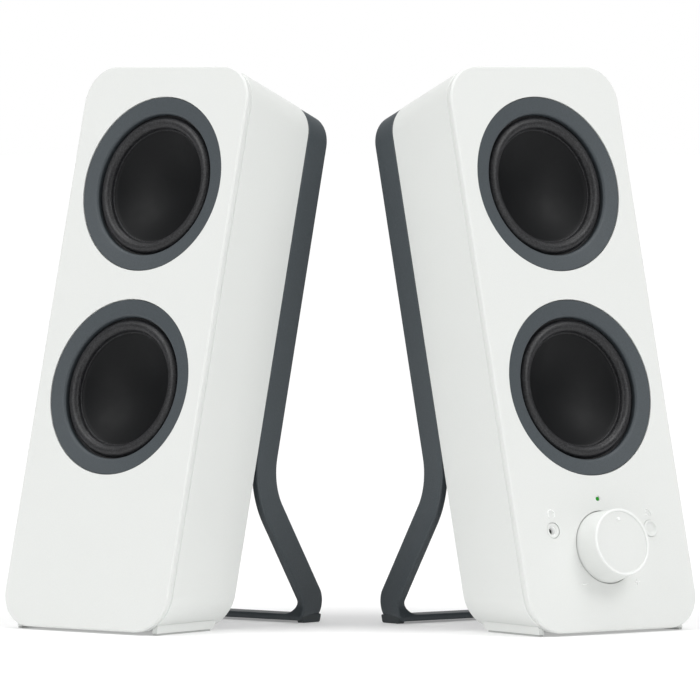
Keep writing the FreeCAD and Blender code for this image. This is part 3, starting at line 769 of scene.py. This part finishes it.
def arc(radius, start, end, centre=(0.0, 0.0), steps=16):
    """Points of an arc; degrees run from straight up, clockwise."""
    turns = [math.radians(start + (end - start) * k / steps) for k in range(steps + 1)]
    return [(centre[0] + radius * math.sin(t), centre[1] + radius * math.cos(t)) for t in turns]


def joined(name, tools):
    """One mesh from several strokes."""
    first = tools[0]
    mesh = first.data
    bpy.data.objects.remove(first)
    mesh.name = name
    return carved(mesh, tools[1:], [], 0.0)


def headphone_mark():
    """A head band with two cups."""
    band = stroke(arc(1.75, -97, 97), 0.33)
    cups = [stroke([(x, -0.35), (x, -1.35)], 0.52) for x in (-1.62, 1.62)]
    return joined("headphone_mark", [band] + cups)


def pairing_mark():
    """A dot with two arcs spreading from it."""
    source = (-1.1, -1.1)
    dot = stroke([(-1.15, -1.15), source], 0.42)
    waves = [stroke(arc(r, 0, 90, source), 0.25) for r in (1.35, 2.5)]
    return joined("pairing_mark", [dot] + waves)


def level_marks():
    """Minus and plus, below the knob on either side."""
    x, z, half = 14.6, 20.7 - KNOB_Z, 1.1
    lines = [((-x - half, z), (-x + half, z)), ((x - half, z), (x + half, z)),
             ((x, z - half), (x, z + half))]
    return joined("level_marks", [stroke(line, 0.33) for line in lines])


# ---- sockets behind ------------------------------------------------------------------------------

SOCKET_BODY = (37.6, 46.1)     # depths of the sockets' square bodies


def aux_socket():
    mesh = finished("aux_socket", lathe(bmesh.new(), [
        (0, 45.0), (3.2, 45.0), (3.2, 49.7, 0.3), (0, 49.7),
    ], 80), 40)
    body = brick((-4.0, 4.0), SOCKET_BODY, (-4.0, 4.0))
    funnel = lathe(bmesh.new(), [
        (0, 38.7), (BORE, 38.7), (BORE, 49.3, 0.1), (2.2, 49.72), (2.2, 51), (0, 51),
    ], 64)
    return carved(mesh, [body], [tool(funnel)], 0.05)


def power_socket():
    mesh = finished("power_socket", lathe(bmesh.new(), [
        (0, 45.0), (5.2, 45.0), (5.2, 49.7, 0.4), (0, 49.7),
    ], 80), 40)
    body = brick((-5.5, 5.5), SOCKET_BODY, (-5.5, 5.5))
    well = lathe(bmesh.new(), [
        (0, 40.5), (2.85, 40.5), (2.85, 49.1, 0.1), (3.3, 49.72), (3.3, 51), (0, 51),
    ], 64)
    return carved(mesh, [body], [tool(well)], 0.05)


def power_pin():
    profile = [(0, 40.4), (1.0, 40.4), (1.0, 48.6, 0.45), (0, 48.6)]
    return finished("power_pin", lathe(bmesh.new(), profile, 40), 40)


def satellite_shell():
    """The plated outer contact, with a flange and a hollow barrel."""
    return finished("satellite_shell", lathe(bmesh.new(), [
        (5.0, 46.2), (5.0, 50.2, 0.3), (4.15, 50.2, 0.1), (4.15, 57.6, 0.35), (3.45, 57.6, 0.3),
        (3.45, 50.0), (3.45, 46.2),
    ], 80, closed=True, steps=4), 40)


def satellite_core():
    mesh = finished("satellite_core", lathe(bmesh.new(), [
        (0, 45.0), (3.4, 45.0), (3.4, 57.0, 0.3), (2.1, 57.0, 0.2), (2.1, 56.6), (0, 56.6),
    ], 80), 40)
    body = brick((-5.5, 5.5), SOCKET_BODY, (-5.5, 5.5))
    return carved(mesh, [body], [rod(1.65, 47.0, 59.0, segments=48)], 0.04)


def cable_gland():
    """A rubber bush whose outer end is ribbed to let a lead flex."""
    profile = [
        (2.25, 44.4), (5.6, 44.4, 0.3), (5.6, 46.1, 0.2), (4.4, 46.1), (4.4, 49.3),
        (6.2, 49.3, 0.2), (6.2, 49.9, 0.25), (5.4, 50.1, 0.1), (5.4, 50.4, 0.1), (5.7, 50.5, 0.1),
        (5.5, 50.9, 0.15), (4.8, 51.0, 0.1), (4.8, 51.6, 0.2), (2.25, 51.6, 0.2),
    ]
    return finished("cable_gland", lathe(bmesh.new(), profile, 80, closed=True, steps=3), 40)


# ---- every piece in its place --------------------------------------------------------------------

for name, node in frame["nodes"].items():
    used = next(s["material_slot"] for s in frame["record"]["subparts"] if s["node"] == name)
    node.data.materials.clear()
    node.data.materials.append(FINISHES[used])

for side in ("left", "right"):
    place = cabinet_frame(side)
    main = side + "_speaker"
    piece(side + "_panel", front_panel(side), place, main, "white_plastic", side + "_front_panel")
    piece(side + "_shell", cabinet_shell(), place, main, "white_plastic", side + "_cabinet_shell")
    piece(side + "_cover", rear_cover(side), place, main, "slate_plastic", side + "_rear_cover")
    piece(side + "_screws", case_screws(), place, main, "screw_steel", side + "_case_screws")
    for word, row, z in (("driver", "upper", UPPER_Z), ("radiator", "lower", LOWER_Z)):
        here = at(place, 0, z)
        piece(f"{side}_{row}_ring", trim_ring(), here, main, "slate_plastic",
              f"{side}_{row}_trim_ring")
        piece(f"{side}_{word}_roll", outer_roll(), here, main, "surround_rubber",
              f"{side}_{word}_surround")
        moving = f"{side}_{word}_diaphragm"
        span = (moving, ROLL_CREST, ROLL_LANDING)
        piece(f"{side}_{word}_inner_roll", inner_roll(), here, main, "surround_rubber", toward=span)
        piece(f"{side}_{word}_dish", cone(), here, moving, "cone_black", f"{side}_{word}_cone")
    here = at(place, 0, UPPER_Z)
    disc = piece(f"{side}_disc", spider(), here, main, "spider_cloth", f"{side}_driver_spider")
    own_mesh(disc)

place = cabinet_frame("left")
piece("left_gland", cable_gland(), at(place, 0, SOCKET_Z), "left_speaker", "foot_rubber",
      "left_cable_gland")

place = cabinet_frame("right")
main = "right_speaker"
knob_place = at(place, 0, KNOB_Z)
piece("knob", volume_knob(), knob_place, "volume_knob", "white_plastic", "right_volume_knob")
# The bead and dot get the glossy white: its low roughness is real gloss, its lighter colour is painted highlight.
piece("knob_rim", knob_rim(), knob_place, "volume_knob", "white_plastic", finish=glossy_painted_highlight)
button_place = at(place, *BUTTON)
piece("button", pairing_button(), button_place, "pairing_button", "white_plastic",
      "right_pairing_button")
jack_place = at(place, *JACK)
piece("phones_socket", headphone_socket(), jack_place, main, "white_plastic",
      "right_headphone_socket")
# The bush glows and is lighter than the panel: painted light inside the headphone hole.
bush = ring(BORE - 0.04, 2.1, 0.6, BUSH - 0.01)
piece("phones_bush", bush, jack_place, main, "white_plastic", finish=bush_painted_glow)
piece("phones_lining", jack_lining(BUSH + 0.5, 15.2), jack_place, main, "black_plastic")
piece("phones_contact", ring(BORE, 2.15, BUSH + 0.02, BUSH + 0.5), jack_place, main, "plated_steel")
piece("lamp_lens", light_pipe(), at(place, 0, LED_Z), main, "green_lens", "right_light_pipe")
# The raised marks get the same glossy white, whose lighter colour is painted highlight.
mark_place = at(jack_place, 0, MARK_RISE)
piece("phones_mark", headphone_mark(), mark_place, main, "white_plastic", finish=glossy_painted_highlight)
mark_place = at(button_place, 0, MARK_RISE)
piece("pairing_mark", pairing_mark(), mark_place, main, "white_plastic", finish=glossy_painted_highlight)
piece("level_marks", level_marks(), knob_place, main, "white_plastic", finish=glossy_painted_highlight)

piece("aux_jack", aux_socket(), at(place, AUX_X, SOCKET_Z), main, "black_plastic",
      "right_aux_socket")
piece("power_jack", power_socket(), at(place, 0, SOCKET_Z), main, "black_plastic",
      "right_power_socket")
piece("power_jack_pin", power_pin(), at(place, 0, SOCKET_Z), main, "plated_steel")
satellite_place = at(place, SATELLITE_X, SOCKET_Z)
piece("satellite_jack", satellite_core(), satellite_place, main, "black_plastic",
      "right_satellite_socket")
piece("satellite_jack_shell", satellite_shell(), satellite_place, main, "plated_steel")


# ---- floor, light and camera, in metres ----------------------------------------------------------

FLOOR_SIZE = 60.0
GLOW_START = 0.12         # distance from the middle at which the floor's glow starts to grow
GLOW_END = 0.70           # distance at which the glow is full
GLOW_LEAST = 0.22
AIM = (0, 0, 0.1)
HORIZON = 0.2             # strength of the world's light at the horizon
ZENITH = 0.65
LENS = 398.2
EYE = (0.0001, -3.3277, 0.2248)
DIP = 1.824               # degrees that the camera looks down


def paper_floor():
    bm = bmesh.new()
    bmesh.ops.create_grid(bm, x_segments=8, y_segments=8, size=FLOOR_SIZE / 2)
    mesh = bpy.data.meshes.new("floor")
    bm.to_mesh(mesh)
    bm.free()
    mesh.materials.append(make_paper())
    made = bpy.data.objects.new("floor", mesh)
    bpy.context.scene.collection.objects.link(made)
    return made


def area_light(name, location, size, power):
    """A soft white light that faces the object."""
    data = bpy.data.lights.new(name, "AREA")
    data.shape, data.size, data.size_y, data.energy = "RECTANGLE", size[0], size[1], power
    made = bpy.data.objects.new(name, data)
    made.location = location
    made.rotation_mode = "QUATERNION"
    made.rotation_quaternion = (Vector(AIM) - Vector(location)).to_track_quat("-Z", "Y")
    bpy.context.scene.collection.objects.link(made)


def make_paper():
    """White paper that glows more and more away from the object, so that no horizon shows."""
    f = Finish("studio_floor", (0.92, 0.92, 0.92), 0.9)
    f.shade(f.span(f.noise(400, 2.0), 0.0, 0.3), (0.90, 0.90, 0.90))
    distance = f.add("ShaderNodeVectorMath", {0: f.place}, operation="LENGTH").outputs["Value"]
    glow = f.add("ShaderNodeMapRange", {
        "Value": distance, "From Min": GLOW_START, "From Max": GLOW_END,
        "To Min": GLOW_LEAST, "To Max": 1.0},
        interpolation_type="SMOOTHSTEP").outputs["Result"]
    f.shade(glow, (0.0, 0.0, 0.0))
    f.shader.inputs["Emission Color"].default_value = (1, 1, 1, 1)
    return f.drive("Emission Strength", glow).material


paper_floor()

for name, location, size, power in (
        ("left", (-2.1, -2.1, 0.9), (1.4, 1.4), 13),
        ("right", (2.1, -2.1, 0.9), (1.4, 1.4), 13),
        ("high_left", (-2.0, -1.0, 2.4), (1.6, 1.6), 35),
        ("high_right", (2.0, -1.0, 2.4), (1.6, 1.6), 35),
        ("back", (0.0, 2.8, 1.8), (2.0, 1.2), 10),
        ("top", (0.0, 0.4, 2.6), (1.6, 1.2), 20)):
    area_light(name, location, size, power)

world = bpy.data.worlds.new("studio")
world.use_nodes = True
sky = world.node_tree
backdrop = sky.nodes["Background"]
backdrop.inputs["Color"].default_value = (1.0, 1.0, 1.0, 1)
direction = sky.nodes.new("ShaderNodeTexCoord")
height = sky.nodes.new("ShaderNodeSeparateXYZ")
glow = sky.nodes.new("ShaderNodeMapRange")
glow.inputs["To Min"].default_value = HORIZON
glow.inputs["To Max"].default_value = ZENITH
seen = sky.nodes.new("ShaderNodeLightPath")
choose = sky.nodes.new("ShaderNodeMix")
choose.inputs[3].default_value = 1.0
sky.links.new(direction.outputs["Generated"], height.inputs[0])
sky.links.new(height.outputs["Z"], glow.inputs["Value"])
sky.links.new(seen.outputs["Is Camera Ray"], choose.inputs[0])
sky.links.new(glow.outputs["Result"], choose.inputs[2])
sky.links.new(choose.outputs[0], backdrop.inputs["Strength"])
bpy.context.scene.world = world

camera = bpy.data.cameras.new("camera")
camera.sensor_width = 36.0
camera.lens = LENS
camera.clip_end = 100.0
eye = bpy.data.objects.new("camera", camera)
eye.location = EYE
eye.rotation_euler = (math.radians(90 - DIP), 0, 0)
bpy.context.scene.collection.objects.link(eye)
bpy.context.scene.camera = eye
bpy.context.scene.view_settings.view_transform = "Standard"

bpy.context.view_layer.update()
